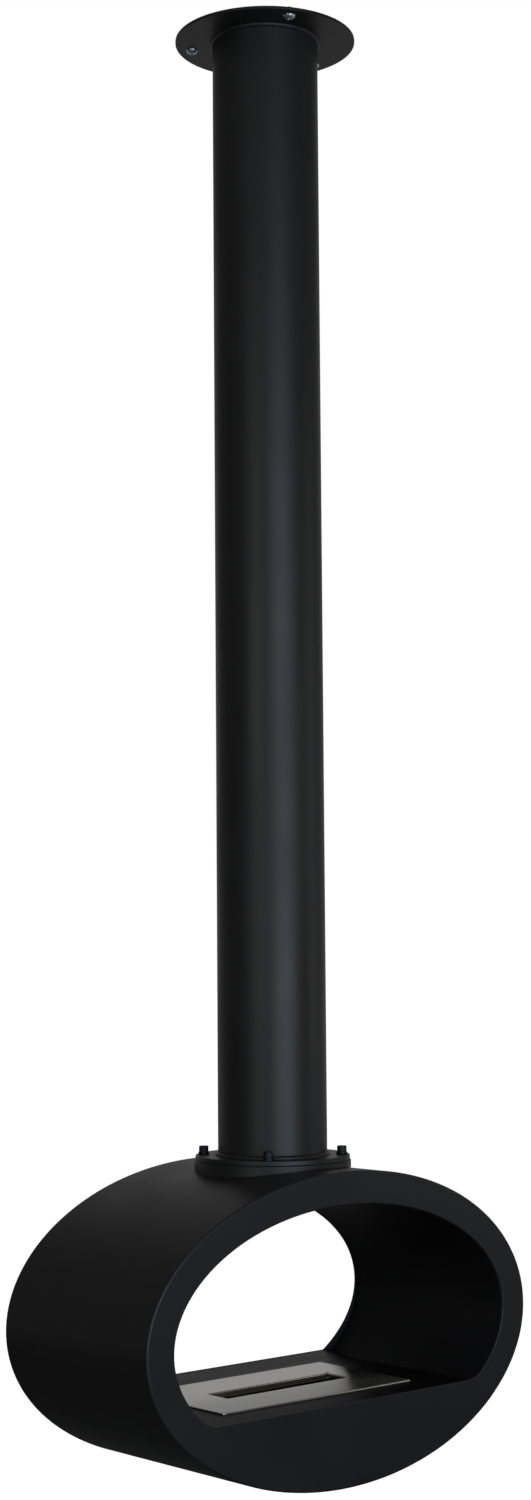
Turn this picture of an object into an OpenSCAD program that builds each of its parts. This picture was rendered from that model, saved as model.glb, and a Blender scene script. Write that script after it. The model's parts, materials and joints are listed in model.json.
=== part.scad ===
// Hanging bio-ethanol fireplace. An elliptical steel drum, open from front to back, hangs from the ceiling
// on one round tube. The origin is the middle of the ceiling plate's upper face, +Z points up, X runs
// along the width of the drum, and the drum's front face looks towards -Y.

/* [Tube] */
// Outside diameter of the suspension tube
tube_d = 150; // [125:1:180]
// Wall of the suspension tube
tube_wall = 2; // [1.5:0.5:4]
// Length of the tube, from the ceiling plate to its flange
tube_length = 1570; // [500:5:2500]
// Leg of the weld beads at both ends of the tube
weld_leg = 4; // [2:0.5:6]

/* [Ceiling plate] */
// How far the ceiling plate stands out past the tube
ceiling_rim = 53; // [45:1:90]
// Thickness of the ceiling plate
ceiling_plate_t = 4; // [3:0.5:8]
// Distance from the plate's edge to the middle of a ceiling screw
ceiling_screw_edge = 21; // [14:0.5:26]
// Number of ceiling screws
ceiling_screw_count = 3; // [3:1:6]
// Turn of the first ceiling screw, from +X towards +Y
ceiling_screw_turn = 7; // [0:1:90]

/* [Ceiling screws] */
// Thread diameter of a ceiling screw
ceiling_screw_d = 10; // [6:1:12]
// Diameter of its plain neck in the plate, as thin as the root of the thread
ceiling_neck_d = 8.5; // [5:0.5:11]
// Diameter of its domed head
ceiling_head_d = 17.5; // [15:0.5:20]
// Height of its domed head
ceiling_head_h = 5.5; // [4:0.5:7]
// Width across the flats of its hexagon socket
ceiling_socket = 6; // [4:0.5:7]
// Depth of its hexagon socket
ceiling_socket_depth = 3.3; // [2:0.1:3.8]
// Length of the screw above the ceiling plate
ceiling_screw_reach = 8; // [6:1:60]

/* [Flange joint] */
// How far the tube's flange stands out past the tube
flange_rim = 31; // [29:0.5:50]
// Thickness of the tube's flange
flange_t = 7; // [4:0.5:12]
// How far the bore of the flange, collar and spreader steps in from the tube's bore
flange_step = 3; // [1:0.5:10]
// Distance from the flange's edge to the middle of a bolt
flange_bolt_edge = 11; // [10:0.5:14]
// Number of flange bolts
flange_bolt_count = 4; // [4:4:8]
// Turn of the first flange bolt, from +X towards +Y
flange_bolt_turn = 45; // [0:1:90]
// How far the collar stands out past the flange
collar_overhang = 1.5; // [0:0.5:5]
// Height of the collar above the crown of the drum
collar_rise = 6; // [3:0.5:20]
// Thickness of the load spreader below the lowest part of its saddle
spreader_t = 5; // [3:0.5:8]

/* [Flange bolts] */
// Thread diameter of a flange bolt
bolt_d = 8; // [6:0.5:9]
// Diameter of its cylindrical head
bolt_head_d = 13; // [12:0.5:15]
// Height of its cylindrical head
bolt_head_h = 8; // [6:0.5:10]
// Width across the flats of its hexagon socket
bolt_socket = 6; // [4:0.5:8]
// Depth of its hexagon socket
bolt_socket_depth = 4; // [2:0.5:5]
// Outside diameter of the flat washer
flat_washer_d = 16; // [14:0.5:18]
// Thickness of the flat washer
flat_washer_t = 1.6; // [1:0.1:3]
// Outside diameter of the spring washer
spring_washer_d = 14.8; // [12:0.2:16]
// Thickness of the spring washer
spring_washer_t = 2; // [1:0.1:3]
// Width of the split in the spring washer
spring_washer_split = 1; // [0.5:0.1:2]
// Width across the flats of the nut
nut_width = 13; // [11:0.5:16]
// Height of the nut
nut_h = 6.5; // [5:0.5:9]
// Length of bolt that shows past the nut
bolt_end = 2; // [1:0.5:5]

/* [Drum] */
// Width of the drum
drum_w = 680; // [600:1:900]
// Height of the drum
drum_h = 410; // [390:1:560]
// Depth of the drum, over both faces
drum_depth = 300; // [270:1:420]
// Thickness of the outer shell
shell_t = 3; // [2:0.5:5]
// Thickness of the front and rear faces
face_t = 3; // [2:0.5:6]
// Width of the faces around the opening
face_ring = 44; // [40:1:60]
// Thickness of the inner liner
liner_t = 2; // [1:0.5:4]
// Distance from the middle of the drum down to the sill of the front opening
sill_drop = 95; // [75:1:100]
// Radius in the two lower corners of the front opening
sill_corner_r = 50; // [2:1:60]
// How much higher the rear sill stands than the front one
rear_sill_step = 4; // [0:0.5:20]
// Radius in the two lower corners of the rear opening
rear_corner_r = 8; // [2:0.5:16]
// How far the rear face stands in past the liner at the sides
rear_lip_side = 2.5; // [0:0.5:10]
// How far the rear face stands in past the liner at the top
rear_lip_top = 1; // [0:0.5:10]
// How far the rear face would stand in past the liner's ellipse at its lowest point, below the sill
rear_lip_foot = 13; // [0:0.5:30]

/* [Hearth floor] */
// Thickness of the floor plate
floor_t = 3; // [2:0.5:5]
// Height of the sill above the floor plate
sill_height = 2; // [1:0.5:15]
// How far the floor runs out under each foot of the liner
floor_tuck = 12; // [5:1:25]
// Leg of the support angles under the floor
support_leg = 20; // [12:1:30]
// Thickness of the support angles
support_t = 2; // [1.5:0.5:4]
// Distance from the ends of the floor to the ends of the support angles
support_inset = 15; // [5:1:40]

/* [Burner] */
// Width of the burner's top plate
burner_w = 340; // [300:1:390]
// Depth of the burner's top plate
burner_depth = 186; // [180:1:220]
// Thickness of the top plate
burner_t = 2; // [1:0.5:3]
// Margin of the top plate that bears on the floor
burner_bearing = 10; // [5:0.5:12]
// Clearance between the tank and the cut-out in the floor
tank_clearance = 1.5; // [1:0.5:4]
// Height of the tank below the top plate
tank_h = 55; // [48:1:62]
// Wall of the tank
tank_wall = 1.5; // [1:0.5:3]
// Length of the flame slot
slot_w = 220; // [150:1:240]
// Width of the flame slot, front to back
slot_depth = 42; // [32:1:50]
// How far the flame slot and its slider stand to the right of the burner's middle
slot_shift = 9; // [0:0.5:12]
// How far the slot's rim is turned down below the top plate
slot_rim_h = 3; // [2:0.5:5]
// Thickness of the slot's rim
slot_rim_t = 2; // [1:0.5:3]
// Thickness of the porous ceramic insert
insert_t = 25; // [15:1:30]
// Thickness of the perforated guard on the insert
guard_t = 1; // [0.8:0.1:2]
// Diameter of the holes in the guard
guard_hole_d = 8; // [4:0.5:12]
// Distance between the holes in the guard
guard_pitch = 18; // [16:1:30]

/* [Slider] */
// Thickness of the sliding lid
lid_t = 1.5; // [1:0.5:3]
// How far the closed lid laps under the plate, past the slot
lid_lap = 5; // [4:0.5:8]
// Depth of the rails' groove around the end of the lid
rail_grip = 5; // [3:0.5:8]
// Thickness of the rails behind and below the groove
rail_wall = 2; // [1.5:0.5:4]
// Diameter of the slider's pin
pin_d = 4; // [3:0.5:6]
// Height of the pin above the top plate, with the lid in place
pin_rise = 2.5; // [0:0.5:10]
// Distance from the pin to the front edge of the lid
pin_edge = 2.5; // [1:0.5:4]
// Distance from the middle of the pin to the right end of the slot
pin_inset = 3; // [2.5:0.5:40]

/* [Clearances] */
// Gap at curved seats, between pieces that don't move
seat_gap = 0.3; // [0.1:0.05:0.5]
// Gap around pieces that slide or lift
slide_gap = 0.3; // [0.2:0.05:0.5]
// How much wider a bolt hole is than its bolt
bolt_hole_play = 1; // [0.4:0.1:2]
// How much wider a washer's bore is than its bolt
washer_play = 0.4; // [0.2:0.1:0.8]
// How much wider a nut's bore is than its bolt
thread_play = 0.1; // [0.06:0.02:0.2]

/* [Hidden] */
$fn = 180;

// Finishes
black_steel = "#26272a";
zinc = "#c9cdd0";
dark_bolt = "#3a3b3d";
stainless = "#b4b6b5";
ceramic = "#ded8c8";

// Cutting tools run this far past what they cut
past = 5;

// Radii and bolt circles of the suspension
tube_r = tube_d / 2;
tube_bore_r = tube_r - tube_wall;
ceiling_plate_r = tube_r + ceiling_rim;
ceiling_screw_circle_r = ceiling_plate_r - ceiling_screw_edge;
flange_r = tube_r + flange_rim;
flange_bolt_circle_r = flange_r - flange_bolt_edge;
flange_bore_r = tube_bore_r - flange_step;
collar_r = flange_r + collar_overhang;

// Heights, from the ceiling down
tube_top_z = -ceiling_plate_t;
flange_top_z = tube_top_z - tube_length;
collar_top_z = flange_top_z - flange_t;
crown_z = collar_top_z - collar_rise;
drum_z = crown_z - drum_h / 2;

// Half axes of the drum's ellipses: outside, inside of the shell, and around the opening
shell_a = drum_w / 2;
shell_b = drum_h / 2;
hollow_a = shell_a - shell_t;
hollow_b = shell_b - shell_t;
opening_a = shell_a - face_ring;
opening_b = shell_b - face_ring;
rear_opening_a = opening_a - rear_lip_side;
rear_opening_b = opening_b - (rear_lip_top + rear_lip_foot) / 2;
rear_opening_rise = (rear_lip_foot - rear_lip_top) / 2;
inner_length = drum_depth - 2 * face_t;

// Heights inside the drum, measured from its middle
floor_top = -sill_drop - sill_height;
floor_bottom = floor_top - floor_t;
plate_bottom = floor_top + slide_gap;
plate_top = plate_bottom + burner_t;
tank_bottom = plate_bottom - tank_h;
insert_bottom = tank_bottom + tank_wall;
insert_top = insert_bottom + insert_t;
slot_rim_bottom = plate_bottom - slot_rim_h;
lid_top = slot_rim_bottom - slide_gap;
lid_bottom = lid_top - lid_t;
rail_bottom = lid_bottom - slide_gap - rail_wall;

// Plan sizes of the floor and the burner
liner_foot_x = ellipse_x(opening_a + liner_t, opening_b + liner_t, floor_top);
floor_w = 2 * (liner_foot_x + floor_tuck);
cutout_w = burner_w - 2 * burner_bearing;
cutout_depth = burner_depth - 2 * burner_bearing;
tank_w = cutout_w - 2 * tank_clearance;
tank_depth = cutout_depth - 2 * tank_clearance;
tank_room_w = tank_w - 2 * tank_wall;
tank_room_depth = tank_depth - 2 * tank_wall;

// Plan of the slider. At rest the slot is open and the pin stands at its back edge.
pin_y = slot_depth / 2 - slide_gap - pin_d / 2;
slider_travel = 2 * pin_y;
lid_front_y = pin_y - pin_d / 2 - pin_edge;
lid_depth = slot_depth + 2 * lid_lap;
rail_inner_x = slot_w / 2 + slot_rim_t + slide_gap;
lid_w = 2 * (rail_inner_x + rail_grip);
rail_outer_x = lid_w / 2 + slide_gap + rail_wall;
rail_front_y = lid_front_y - slider_travel;
rail_back_y = lid_front_y + lid_depth + slide_gap + rail_wall;
pin_x = slot_w / 2 - pin_inset;

// Stack of a flange bolt, from its head down
bolt_head_z = flange_top_z + flat_washer_t + spring_washer_t;
saddle_drop = ellipse_drop(hollow_a, hollow_b, flange_r);
spreader_bottom_z = crown_z - shell_t - saddle_drop - spreader_t;
nut_bottom_z = spreader_bottom_z - nut_h;
bolt_tip_z = nut_bottom_z - bolt_end;

// Half width of an ellipse at a height above or below its middle
function ellipse_x(a, b, z) = a * sqrt(1 - pow(z / b, 2));

// How far an ellipse has fallen from its crown at a distance from its middle
function ellipse_drop(a, b, x) = b * (1 - sqrt(1 - pow(x / a, 2)));

// Middle of a circle of radius r that touches an ellipse from the inside at the angle t
function inner_circle_middle(a, b, r, t) =
  let (normal = [cos(t) / a, sin(t) / b])
  [a * cos(t), b * sin(t)] - r * normal / norm(normal);

// Angle at which such a circle also stands on a line at height z, found by halving the interval
function corner_angle(a, b, r, z, low = -89, high = 0, steps = 40) =
  let (middle = (low + high) / 2)
  steps == 0 ? middle
  : inner_circle_middle(a, b, r, middle)[1] > z + r ? corner_angle(a, b, r, z, low, middle, steps - 1)
  : corner_angle(a, b, r, z, middle, high, steps - 1);

// Flat ellipse with half axes a and b, put together from its four quarters
module ellipse(a, b) {
  for (x = [-1, 1], y = [-1, 1]) scale([x * a / b, y]) intersection() {
    circle(r = b);
    square(2 * b);
  }
}

// Stands a drawing up as a plate of the given thickness, with its middle at the height of the drum
// and its nearer side at the distance y. The drawing's Y becomes +Z.
module upright(thickness, y) {
  translate([0, y + thickness, drum_z]) rotate([90, 0, 0]) linear_extrude(thickness) children();
}

// Box centred on the drum in X and Y, between two heights measured from the middle of the drum
module hearth_box(width, depth, bottom, top) {
  translate([-width / 2, -depth / 2, drum_z + bottom]) cube([width, depth, top - bottom]);
}

// Copies a piece around the tube's axis
module around(count, radius, turn) {
  for (i = [0:count - 1]) rotate([0, 0, turn + i * 360 / count]) translate([radius, 0, 0]) children();
}

module at_ceiling_screws() {
  around(ceiling_screw_count, ceiling_screw_circle_r, ceiling_screw_turn) children();
}

module at_flange_bolts() {
  around(flange_bolt_count, flange_bolt_circle_r, flange_bolt_turn) children();
}

// Moves the slot and the pieces of its slider to their place beside the burner's middle
module at_slot() {
  translate([slot_shift, 0, 0]) children();
}

// Cuts the bolt holes through everything from the flange down to the load spreader
module flange_bolt_holes() {
  at_flange_bolts() translate([0, 0, bolt_tip_z - past])
    cylinder(d = bolt_d + bolt_hole_play, h = flange_top_z - bolt_tip_z + 2 * past);
}

// Cuts the round bore between two heights
module bore(bottom_z, top_z) {
  translate([0, 0, bottom_z - past]) cylinder(r = flange_bore_r, h = top_z - bottom_z + 2 * past);
}

// Bar with the drum's curve, long enough from front to back to shape the round pieces on it
module drum_curve(a, b) {
  length = 2 * (collar_r + past);
  upright(length, -length / 2) ellipse(a, b);
}

// Hexagonal prism by its width across the flats
module hexagon(width, h) {
  cylinder(d = width / cos(30), h = h, $fn = 6);
}

// Flat ring with its lower side at the height z
module washer(outer_d, bore_d, thickness) {
  difference() {
    cylinder(d = outer_d, h = thickness);
    translate([0, 0, -past]) cylinder(d = bore_d, h = thickness + 2 * past);
  }
}

// Weld bead around the tube. It grows upwards for side = 1 and downwards for side = -1.
module weld_bead(z, side) {
  inner_r = tube_r + seat_gap;
  translate([0, 0, z]) rotate_extrude()
    polygon([[inner_r, 0], [inner_r + weld_leg, 0], [inner_r, side * weld_leg]]);
}

module ceiling_plate() {
  color(black_steel) difference() {
    translate([0, 0, -ceiling_plate_t]) cylinder(r = ceiling_plate_r, h = ceiling_plate_t);
    at_ceiling_screws() translate([0, 0, -ceiling_plate_t - past])
      cylinder(d = ceiling_screw_d + bolt_hole_play, h = ceiling_plate_t + 2 * past);
  }
}

// Domed head below the plate, its neck through the plate and its thread into the ceiling
module ceiling_screw() {
  dome_r = (pow(ceiling_head_d / 2, 2) + pow(ceiling_head_h, 2)) / (2 * ceiling_head_h);
  head_bottom_z = -ceiling_plate_t - ceiling_head_h;
  difference() {
    union() {
      intersection() {
        translate([0, 0, head_bottom_z + dome_r]) sphere(r = dome_r);
        translate([0, 0, head_bottom_z]) cylinder(d = ceiling_head_d, h = ceiling_head_h);
      }
      translate([0, 0, -ceiling_plate_t]) cylinder(d = ceiling_neck_d, h = ceiling_plate_t);
      cylinder(d = ceiling_screw_d, h = ceiling_screw_reach);
    }
    translate([0, 0, head_bottom_z - past]) hexagon(ceiling_socket, past + ceiling_socket_depth);
  }
}

module ceiling_screws() {
  color(zinc) at_ceiling_screws() ceiling_screw();
}

module ceiling_weld() {
  color(black_steel) weld_bead(tube_top_z, -1);
}

module suspension_tube() {
  color(black_steel) translate([0, 0, flange_top_z]) difference() {
    cylinder(r = tube_r, h = tube_length);
    translate([0, 0, -past]) cylinder(r = tube_bore_r, h = tube_length + 2 * past);
  }
}

module flange_weld() {
  color(black_steel) weld_bead(flange_top_z, 1);
}

module tube_flange() {
  color(black_steel) difference() {
    translate([0, 0, collar_top_z]) cylinder(r = flange_r, h = flange_t);
    bore(collar_top_z, flange_top_z);
    flange_bolt_holes();
  }
}

module flange_bolt() {
  difference() {
    union() {
      translate([0, 0, bolt_head_z]) cylinder(d = bolt_head_d, h = bolt_head_h);
      translate([0, 0, bolt_tip_z]) cylinder(d = bolt_d, h = bolt_head_z - bolt_tip_z);
    }
    translate([0, 0, bolt_head_z + bolt_head_h - bolt_socket_depth]) hexagon(bolt_socket, bolt_head_h);
  }
}

module flange_bolts() {
  color(dark_bolt) at_flange_bolts() flange_bolt();
}

module spring_washers() {
  color(dark_bolt) at_flange_bolts() translate([0, 0, flange_top_z + flat_washer_t]) difference() {
    washer(spring_washer_d, bolt_d + washer_play, spring_washer_t);
    translate([0, -spring_washer_split / 2, -past])
      cube([spring_washer_d, spring_washer_split, spring_washer_t + 2 * past]);
  }
}

module flat_washers() {
  color(dark_bolt) at_flange_bolts() translate([0, 0, flange_top_z])
    washer(flat_washer_d, bolt_d + washer_play, flat_washer_t);
}

module flange_nuts() {
  color(dark_bolt) at_flange_bolts() translate([0, 0, nut_bottom_z]) difference() {
    hexagon(nut_width, nut_h);
    translate([0, 0, -past]) cylinder(d = bolt_d + thread_play, h = nut_h + 2 * past);
  }
}

// Thick ring under the flange, its lower edge cut to the curve of the drum
module body_collar() {
  color(black_steel) difference() {
    translate([0, 0, drum_z]) cylinder(r = collar_r, h = collar_top_z - drum_z);
    drum_curve(shell_a + seat_gap, shell_b + seat_gap);
    bore(drum_z, collar_top_z);
    flange_bolt_holes();
  }
}

// Ring inside the double wall: saddle-shaped against the shell, flat below for the nuts
module load_spreader() {
  color(black_steel) difference() {
    intersection() {
      translate([0, 0, spreader_bottom_z]) cylinder(r = flange_r, h = crown_z - spreader_bottom_z);
      drum_curve(hollow_a - seat_gap, hollow_b - seat_gap);
    }
    bore(spreader_bottom_z, crown_z);
    flange_bolt_holes();
  }
}

module outer_shell() {
  color(black_steel) difference() {
    upright(inner_length, -inner_length / 2) difference() {
      ellipse(shell_a, shell_b);
      ellipse(hollow_a, hollow_b);
    }
    flange_bolt_holes();
  }
}

// Arch around the opening. Its feet stand on the floor.
module inner_liner() {
  arch_top = opening_b + liner_t + past;
  arch_w = drum_w;
  color(black_steel) upright(inner_length, -inner_length / 2) intersection() {
    difference() {
      ellipse(opening_a + liner_t, opening_b + liner_t);
      ellipse(opening_a, opening_b);
    }
    translate([-arch_w / 2, floor_top]) square([arch_w, arch_top - floor_top]);
  }
}

// Fills one lower corner of an opening up to the arc of its rounded corner
module opening_corner(a, b, drop, corner_r) {
  angle = corner_angle(a, b, corner_r, -drop);
  arc_middle = inner_circle_middle(a, b, corner_r, angle);
  touch = [a * cos(angle), b * sin(angle)];
  outward = (touch - arc_middle) / corner_r;
  reach = face_ring / 4;
  difference() {
    polygon([
      arc_middle,
      [arc_middle[0], -drop - reach],
      [touch[0] + reach, -drop - reach],
      touch + reach * outward
    ]);
    translate(arc_middle) circle(r = corner_r);
  }
}

// Ellipse with half axes a and b, cut off straight at a drop below its middle
module arched_opening(a, b, drop, corner_r) {
  difference() {
    ellipse(a, b);
    translate([-drum_w / 2, -drum_h - drop]) square([drum_w, drum_h]);
    opening_corner(a, b, drop, corner_r);
    mirror([1, 0]) opening_corner(a, b, drop, corner_r);
  }
}

// Elliptical plate with an arched opening, closed below the sill
module front_face() {
  color(black_steel) upright(face_t, -drum_depth / 2) difference() {
    ellipse(shell_a, shell_b);
    arched_opening(opening_a, opening_b, sill_drop, sill_corner_r);
  }
}

// The rear opening is a little smaller and sits higher, so its plate stands in past the liner
module rear_face() {
  rear_drop = sill_drop - rear_sill_step + rear_opening_rise;
  color(black_steel) upright(face_t, drum_depth / 2 - face_t) difference() {
    ellipse(shell_a, shell_b);
    translate([0, rear_opening_rise])
      arched_opening(rear_opening_a, rear_opening_b, rear_drop, rear_corner_r);
  }
}

module hearth_floor() {
  color(black_steel) difference() {
    hearth_box(floor_w, inner_length, floor_bottom, floor_top);
    hearth_box(cutout_w, cutout_depth, floor_bottom - past, floor_top + past);
  }
}

// Angle along one face: the upright leg against the face, the other leg under the floor
module floor_support() {
  length = floor_w - 2 * support_inset;
  translate([-length / 2, -inner_length / 2, drum_z + floor_bottom - support_leg]) difference() {
    cube([length, support_leg, support_leg]);
    translate([-past, support_t, -support_t]) cube([length + 2 * past, support_leg, support_leg]);
  }
}

module floor_supports() {
  color(black_steel) {
    floor_support();
    mirror([0, 1, 0]) floor_support();
  }
}

module burner_top_plate() {
  color(stainless) difference() {
    union() {
      hearth_box(burner_w, burner_depth, plate_bottom, plate_top);
      at_slot()
        hearth_box(slot_w + 2 * slot_rim_t, slot_depth + 2 * slot_rim_t, slot_rim_bottom, plate_top);
    }
    at_slot() hearth_box(slot_w, slot_depth, slot_rim_bottom - past, plate_top + past);
  }
}

module burner_tank() {
  color(stainless) difference() {
    hearth_box(tank_w, tank_depth, tank_bottom, plate_bottom);
    hearth_box(tank_room_w, tank_room_depth, tank_bottom + tank_wall, plate_bottom + past);
  }
}

module ceramic_insert() {
  color(ceramic)
    hearth_box(tank_room_w - 2 * seat_gap, tank_room_depth - 2 * seat_gap, insert_bottom, insert_top);
}

module insert_guard() {
  guard_w = tank_room_w - 2 * seat_gap;
  guard_depth = tank_room_depth - 2 * seat_gap;
  columns = floor((guard_w - guard_pitch) / guard_pitch);
  rows = floor((guard_depth - guard_pitch) / guard_pitch);
  color(stainless) difference() {
    hearth_box(guard_w, guard_depth, insert_top, insert_top + guard_t);
    for (i = [0:columns - 1], j = [0:rows - 1])
      translate([
        (i - (columns - 1) / 2) * guard_pitch,
        (j - (rows - 1) / 2) * guard_pitch,
        drum_z + insert_top - past
      ]) cylinder(d = guard_hole_d, h = guard_t + 2 * past);
  }
}

// Channel under the top plate that holds the right end of the lid
module slider_rail() {
  rail_depth = rail_back_y - rail_front_y;
  translate([rail_inner_x, rail_front_y, drum_z + rail_bottom]) difference() {
    cube([rail_outer_x - rail_inner_x, rail_depth, plate_bottom - rail_bottom]);
    translate([-past, -past, rail_wall])
      cube([past + rail_grip + slide_gap, rail_depth + past - rail_wall, lid_t + 2 * slide_gap]);
  }
}

module slider_rails() {
  color(stainless) at_slot() {
    slider_rail();
    mirror([1, 0, 0]) slider_rail();
  }
}

module slider_lid() {
  color(stainless) at_slot() translate([-lid_w / 2, lid_front_y, drum_z + lid_bottom])
    cube([lid_w, lid_depth, lid_t]);
}

module slider_pin() {
  color(stainless) at_slot() translate([pin_x, pin_y, drum_z + lid_top])
    cylinder(d = pin_d, h = plate_top + pin_rise - lid_top);
}

ceiling_plate();
ceiling_screws();
ceiling_weld();
suspension_tube();
flange_weld();
tube_flange();
flange_bolts();
spring_washers();
flat_washers();
flange_nuts();
body_collar();
load_spreader();
outer_shell();
inner_liner();
front_face();
rear_face();
hearth_floor();
floor_supports();
burner_top_plate();
burner_tank();
ceramic_insert();
insert_guard();
slider_rails();
slider_lid();
slider_pin();
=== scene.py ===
# %% [markdown]
# # A hanging fireplace, dressed for its portrait
#
# The object is a steel drum with an elliptical outline, open from front to back, that hangs from the
# ceiling on one round tube. A stainless burner lies in its floor. The construction model already has
# every part at its true size, so this lesson adds what a render still needs: rounded edges, weld
# beads, threads and sockets, and the finish of each part. The model is loaded first, as a fixed frame
# that nothing below moves or changes.

# %% Load the construction model
import json
import math

import bmesh
import bpy
import numpy as np
from mathutils import Matrix, Vector

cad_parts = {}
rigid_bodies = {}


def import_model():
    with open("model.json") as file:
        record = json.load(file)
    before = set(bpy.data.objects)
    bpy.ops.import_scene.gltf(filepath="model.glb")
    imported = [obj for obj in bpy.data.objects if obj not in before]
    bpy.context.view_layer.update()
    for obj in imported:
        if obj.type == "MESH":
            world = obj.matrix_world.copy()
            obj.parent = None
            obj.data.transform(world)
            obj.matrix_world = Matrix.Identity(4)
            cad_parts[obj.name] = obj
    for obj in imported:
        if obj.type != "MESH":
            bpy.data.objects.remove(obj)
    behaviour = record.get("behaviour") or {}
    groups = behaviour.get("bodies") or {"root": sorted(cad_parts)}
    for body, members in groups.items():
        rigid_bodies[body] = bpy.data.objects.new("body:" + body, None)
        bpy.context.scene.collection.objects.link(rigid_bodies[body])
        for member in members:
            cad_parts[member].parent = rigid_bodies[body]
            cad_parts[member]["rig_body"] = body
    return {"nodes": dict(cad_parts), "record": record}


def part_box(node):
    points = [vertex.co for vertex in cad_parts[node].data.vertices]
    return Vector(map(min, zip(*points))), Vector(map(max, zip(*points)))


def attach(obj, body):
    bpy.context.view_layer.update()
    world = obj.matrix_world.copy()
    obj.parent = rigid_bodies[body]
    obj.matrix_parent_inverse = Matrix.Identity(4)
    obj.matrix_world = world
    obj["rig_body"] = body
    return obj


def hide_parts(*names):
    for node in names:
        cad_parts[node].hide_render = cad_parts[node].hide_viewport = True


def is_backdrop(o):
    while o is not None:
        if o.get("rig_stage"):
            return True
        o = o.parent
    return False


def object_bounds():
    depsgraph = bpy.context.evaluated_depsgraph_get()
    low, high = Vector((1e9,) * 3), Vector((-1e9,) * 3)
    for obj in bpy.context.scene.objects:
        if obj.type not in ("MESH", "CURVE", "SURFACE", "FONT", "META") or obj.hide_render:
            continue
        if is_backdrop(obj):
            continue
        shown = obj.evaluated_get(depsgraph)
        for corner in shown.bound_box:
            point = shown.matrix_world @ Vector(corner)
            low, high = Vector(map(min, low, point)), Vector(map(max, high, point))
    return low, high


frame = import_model()
model_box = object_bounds()
scene = bpy.context.scene
print("Box of the construction model in metres:", [list(corner) for corner in model_box])

# %% [markdown]
# ## Camera
#
# The picture was taken from the left of the front, from 0.3 m above the drum's top, so that the ceiling
# plate shows its underside and the drum's floor its top. One way to place a camera is to aim it by eye.
# Here its place, its turn and its lens were worked out from the outlines of the ceiling plate, the tube
# and the two ellipses, because an ellipse seen at an angle shows every error of a degree. The camera
# starts out looking straight down. It is rolled a little, tipped up by a quarter turn and the pitch,
# and then turned to the right by the yaw.

# %% Place the camera
CAMERA_PLACE = Vector((-2.1170, -2.3920, -1.2872))
CAMERA_YAW = math.radians(41.4018)
CAMERA_PITCH = math.radians(4.8357)
CAMERA_ROLL = math.radians(-0.3956)
SENSOR_LONG_SIDE_MM = 36.0
FOCAL_LENGTH_MM = 55.198

camera_lens = bpy.data.cameras.new("portrait_camera")
camera_lens.sensor_width = SENSOR_LONG_SIDE_MM
camera_lens.lens = FOCAL_LENGTH_MM
camera = bpy.data.objects.new("portrait_camera", camera_lens)
scene.collection.objects.link(camera)
camera.matrix_world = (
    Matrix.Translation(CAMERA_PLACE)
    @ Matrix.Rotation(-CAMERA_YAW, 4, "Z")
    @ Matrix.Rotation(math.radians(90) + CAMERA_PITCH, 4, "X")
    @ Matrix.Rotation(CAMERA_ROLL, 4, "Z")
)
scene.camera = camera
scene.view_settings.view_transform = "Standard"
print("Camera stands", round(CAMERA_PLACE.xy.length, 2), "m from the axis of the tube and",
      round(CAMERA_PLACE.z - model_box[0].z, 2), "m above the bottom of the drum")

# %% [markdown]
# ## Two helpers for every shader
#
# Colours are written as the hex values that a paint chart or a picture editor shows. A shader needs
# them linear, so one function turns them. A second one adds a node, gives it its settings, and fills
# each of its sockets with a value or with another node's output. A shader then reads from top to
# bottom like a recipe.

# %% Helpers for colours and nodes
def linear(hex_colour):
    """Linear RGBA of an sRGB hex colour: a channel is divided by 12.92 where it is very dark, and
    otherwise has 0.055 added, is divided by 1.055 and is raised to the power 2.4."""
    channels = [int(hex_colour[i:i + 2], 16) / 255 for i in (1, 3, 5)]
    return [c / 12.92 if c <= 0.04045 else ((c + 0.055) / 1.055) ** 2.4 for c in channels] + [1.0]


def add_node(tree, kind, inputs=None, **settings):
    """Adds one shader node. inputs maps its sockets to values or to the outputs of other nodes."""
    made = tree.nodes.new("ShaderNode" + kind)
    for name, value in settings.items():
        setattr(made, name, value)
    for socket, value in (inputs or {}).items():
        if isinstance(value, bpy.types.NodeSocket):
            tree.links.new(value, made.inputs[socket])
        else:
            made.inputs[socket].default_value = value
    return made


def empty_tree(owner):
    """The node tree of a material or world, without the nodes that Blender puts in it."""
    owner.use_nodes = True
    owner.node_tree.nodes.clear()
    return owner.node_tree


print("A mid grey of #808080 is", round(linear("#808080")[0], 3), "in linear light")

# %% [markdown]
# ## Studio
#
# A product studio has a pale wall behind the object and is dim on the camera's side, which is what
# keeps black paint black. The wall could be a real mesh, but it would stand in the way of a camera
# that walks round the object. The world does the same job without getting in the way. It is plain
# white to the camera. Shiny surfaces see a softly lit wall behind the object, which fades sideways
# into a dimmer room. How far a direction points to the wall is the cosine of the angle between the
# two, which a dot product gives. Everything else gets an even, weaker light from the world.

# %% Studio walls
WALL_DIRECTION = Vector((0.66, 0.75, 0.0))
WALL_EDGE_COSINE = 0.6
AMBIENT_LEVEL = 0.04
DIM_ROOM_LEVEL = 0.12
WALL_LEVEL = 0.45
CAMERA_LEVEL = 1.0

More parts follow.
